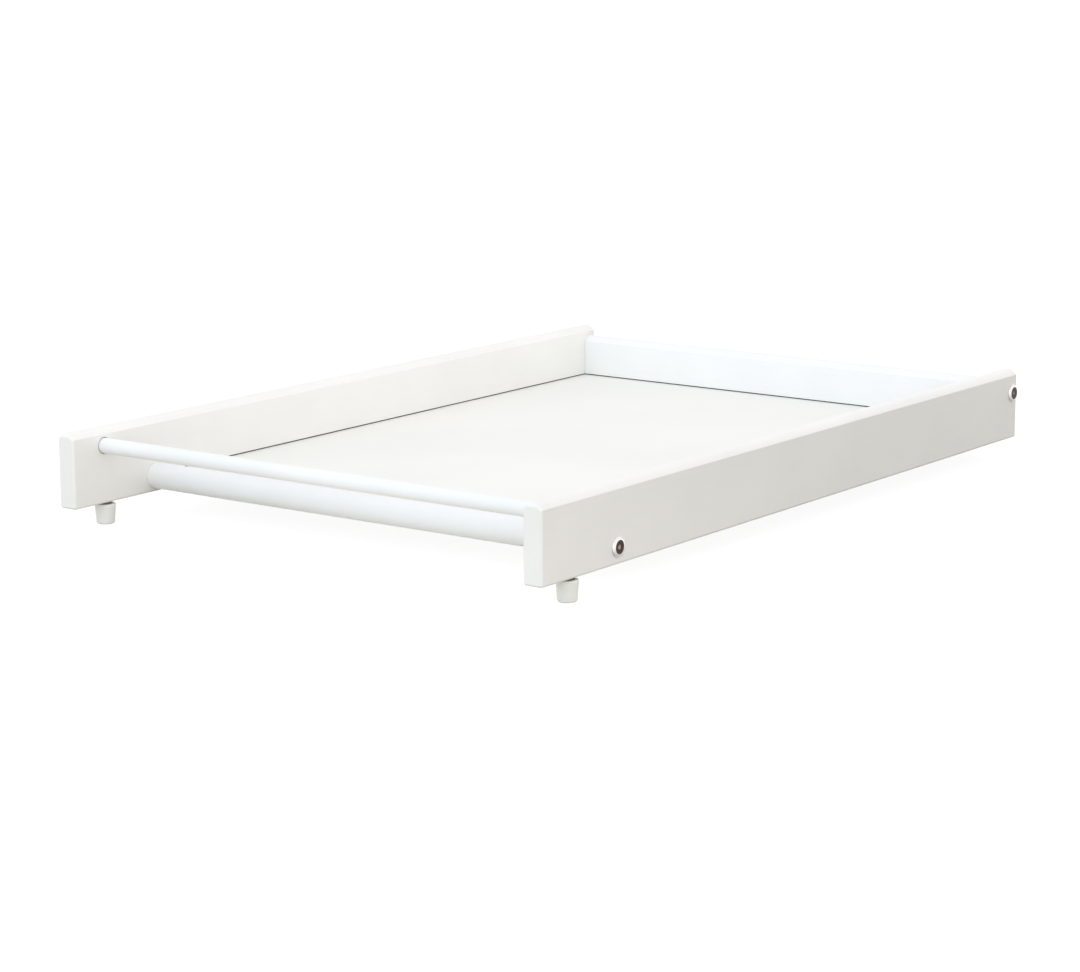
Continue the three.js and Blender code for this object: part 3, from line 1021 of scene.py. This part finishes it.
GRAIN_ALONG = (1, 0.05, 1)
GRAIN_ACROSS = (0.05, 1, 1)
rail_lacquer = white_lacquer("white_lacquer_lengthways", GRAIN_ALONG)
board_lacquer = white_lacquer(
    "white_lacquer_crossways", GRAIN_ACROSS, dark=(238, 238, 236), light=(243, 243, 241)
)
# The bars' copy of the lacquer is painted a little cooler, standing in for the cool light from the
# front
bar_lacquer_painted_cool = white_lacquer(
    "white_lacquer_on_bars", GRAIN_ACROSS, dark=(238, 239, 239), light=(243, 244, 244)
)
plastic = moulded_white()
zinc = zinc_plate()
beech = bare_beech()

hand_in(back_board(), "back_board", board_lacquer)
hand_in(base_panel(), "base_panel", white_panel())
hand_in(lower_front_bar(), "lower_front_bar", bar_lacquer_painted_cool)
hand_in(upper_front_bar(), "upper_front_bar", bar_lacquer_painted_cool)

bolt_pattern = connector_bolt()
nut_pattern = barrel_nut()
dowel_pattern = dowel()
head_x = OUTER_X + BOLT_HEAD_HEIGHT

# The driver slots of the nuts look down in the lower bar, and back in the back board
nut_turns = {"front": pi, "back": -pi / 2}
nickel = {
    place: bright_nickel(f"bright_nickel_{place}", bolt_axis("right", place), head_x)
    for place in nut_turns
}

for side, outward in SIDES.items():
    hand_in(side_rail(side), f"{side}_side_rail", rail_lacquer)
    hand_in(peg(side), f"{side}_peg", plastic)
    for place, turn in nut_turns.items():
        axis = bolt_axis(side, place)
        seat = Matrix.Translation((outward * OUTER_X, axis.y, axis.z)) @ along((outward, 0, 0))
        bolt = copy_of(bolt_pattern, f"{place}_{side}_connector", seat)
        hand_in(bolt, f"{place}_{side}_bolt", nickel[place])
        nut_node = f"{place}_{side}_barrel_nut"
        nut_place = Matrix.Translation(middle(nut_node)) @ Matrix.Rotation(turn, 4, "X")
        nut = copy_of(nut_pattern, f"{place}_{side}_nut", nut_place)
        hand_in(nut, nut_node, zinc)
    pin_place = Matrix.Translation(middle(f"{side}_dowel")) @ along((1, 0, 0))
    pin = copy_of(dowel_pattern, f"{side}_fluted_dowel", pin_place)
    hand_in(pin, f"{side}_dowel", beech)

for pattern in (bolt_pattern, nut_pattern, dowel_pattern):
    bpy.data.objects.remove(pattern)


# Floor

FLOOR_REACH = 40
FLOOR_GLOW = 0.92
FLOOR_PAPER = (0.2, 0.2, 0.2)

# What the floor throws back, and the limits between which its zones fade
BOUNCE_FRONT_LEFT = (0.515, 0.484, 0.418)
BOUNCE_FRONT = (0.61, 0.574, 0.496)
BOUNCE_BACK = (0.17, 0.15, 0.09)
BOUNCE_UNDER_BARS = (0.72, 0.68, 0.585)
LEFT_TO_MIDDLE = (-0.32, 0.0)
FRONT_TO_BACK = (-0.43, 0.38)
BACKWARDS_X, BACKWARDS_Y = 0.6, 0.8
BARS_FROM_LEFT = (-0.23, 0.04)
BARS_FROM_RIGHT = (0.27, 0.21)
BARS_FROM_FRONT = (-0.55, -0.42)
BARS_FROM_BACK = (-0.2, -0.28)


def floor_finish():
    """White where it is seen or mirrored, with the soft shadow of the tray. It throws more light
    back in front of the tray than at its left, at its right and behind it, and most of all under
    the bars."""
    paint = Paint("pale_floor")
    x, y, z = paint.parts(paint.place())
    backwards = paint.range(x * BACKWARDS_X + y * BACKWARDS_Y, *FRONT_TO_BACK)
    in_front = paint.mix(paint.range(x, *LEFT_TO_MIDDLE), BOUNCE_FRONT_LEFT, BOUNCE_FRONT)
    bounce = paint.mix(backwards, in_front, BOUNCE_BACK)
    under_bars = paint.range(x, *BARS_FROM_LEFT) * paint.range(x, *BARS_FROM_RIGHT)
    under_bars = under_bars * paint.range(y, *BARS_FROM_FRONT) * paint.range(y, *BARS_FROM_BACK)
    bounce = paint.mix(under_bars, bounce, BOUNCE_UNDER_BARS)
    glow = paint.node("ShaderNodeEmission", None, {"Color": WHITE, "Strength": FLOOR_GLOW})
    white = paint.together(glow, paint.matt(FLOOR_PAPER))
    surface = paint.instead(paint.seen_or_mirrored(), paint.matt(bounce), white)
    paint.node("ShaderNodeOutputMaterial", None, {"Surface": surface})
    return paint.block


# Light

EVEN_COLOUR, EVEN_LEVEL = (1.0, 0.965, 0.99), 0.905
FRONT_COLOUR, FRONT_LEVEL = (0.47, 0.79, 1.0), 0.53
RIGHT_COLOUR, RIGHT_LEVEL = (1.0, 0.96, 0.85), 0.28
BEHIND_COLOUR, BEHIND_LEVEL = (0.82, 0.95, 1.0), 2.4
BEHIND_X, BEHIND_Y = -0.35, 0.94
BEHIND_SPREAD = (0.6, 1.0)
BEHIND_HEIGHT = (0.35, 0.0)
LIGHT_DISTANCE = 6
KEY_DIRECTION = (0.3, -0.9, 0.3)
KEY_LEVEL = 0.125
KEY_SIZE = 4
KEY_COLOUR = (0.96, 1.0, 1.04)


def room():
    """A white room where it is seen or mirrored. On the rest it throws an even light, with a little
    more and cooler light from the front and from low behind, and a little warm light from the
    right."""
    paint = Paint("room", world=True)
    x, y, z = paint.parts(paint.direction())
    from_front = (0 - y).at_least(0.0)
    from_right = x.at_least(0.0)
    from_behind = paint.range(BEHIND_Y * y + BEHIND_X * x, *BEHIND_SPREAD)
    from_behind = from_behind * paint.range(z, *BEHIND_HEIGHT)
    light = paint.together(
        paint.sky(FRONT_COLOUR, from_front * FRONT_LEVEL),
        paint.sky(RIGHT_COLOUR, from_right * RIGHT_LEVEL),
    )
    light = paint.together(light, paint.sky(BEHIND_COLOUR, from_behind * BEHIND_LEVEL))
    light = paint.together(paint.sky(EVEN_COLOUR, EVEN_LEVEL), light)
    surface = paint.instead(paint.seen_or_mirrored(), light, paint.sky(WHITE, 1.0))
    paint.node("ShaderNodeOutputWorld", None, {"Surface": surface})
    bpy.context.scene.world = paint.block


def soft_light(name, direction, level, size, colour):
    """A square soft light that looks at the tray. Level 1 lights a white sheet that faces it to
    white."""
    lamp = bpy.data.lights.new(name, "AREA")
    lamp.shape = "SQUARE"
    lamp.size = size
    lamp.energy = level * pi * pi * LIGHT_DISTANCE ** 2
    lamp.color = colour
    light = bpy.data.objects.new(name, lamp)
    place = Matrix.Translation(Vector(direction).normalized() * LIGHT_DISTANCE)
    light.matrix_world = place @ along(direction)
    bpy.context.scene.collection.objects.link(light)


bpy.ops.object.select_all(action="DESELECT")
bpy.ops.mesh.primitive_plane_add(size=2 * FLOOR_REACH, location=(0, 0, 0))
floor = settle(bpy.context.object, "floor")
floor.data.materials.append(floor_finish())
room()
soft_light("key", KEY_DIRECTION, KEY_LEVEL, KEY_SIZE, KEY_COLOUR)

# The photograph's camera, with its lens and sensor in millimetres
CAMERA_PLACE = (1.63512, -2.26381, 0.57643)
CAMERA_TURN = radians(36.3144)
CAMERA_DIP = radians(11.5527)
CAMERA_ROLL = radians(-0.1964)
CAMERA_LENS = 101.013
CAMERA_SENSOR = 36
CAMERA_REACH = 200

camera_data = bpy.data.cameras.new("camera")
camera_data.lens = CAMERA_LENS
camera_data.sensor_width = CAMERA_SENSOR
camera_data.sensor_fit = "HORIZONTAL"
camera_data.clip_end = CAMERA_REACH
camera = bpy.data.objects.new("camera", camera_data)
camera.matrix_world = (
    Matrix.Translation(CAMERA_PLACE)
    @ Matrix.Rotation(CAMERA_TURN, 4, "Z")
    @ Matrix.Rotation(pi / 2 - CAMERA_DIP, 4, "X")
    @ Matrix.Rotation(CAMERA_ROLL, 4, "Z")
)
bpy.context.scene.collection.objects.link(camera)
bpy.context.scene.camera = camera
bpy.context.scene.view_settings.view_transform = "Standard"

bpy.context.view_layer.update()
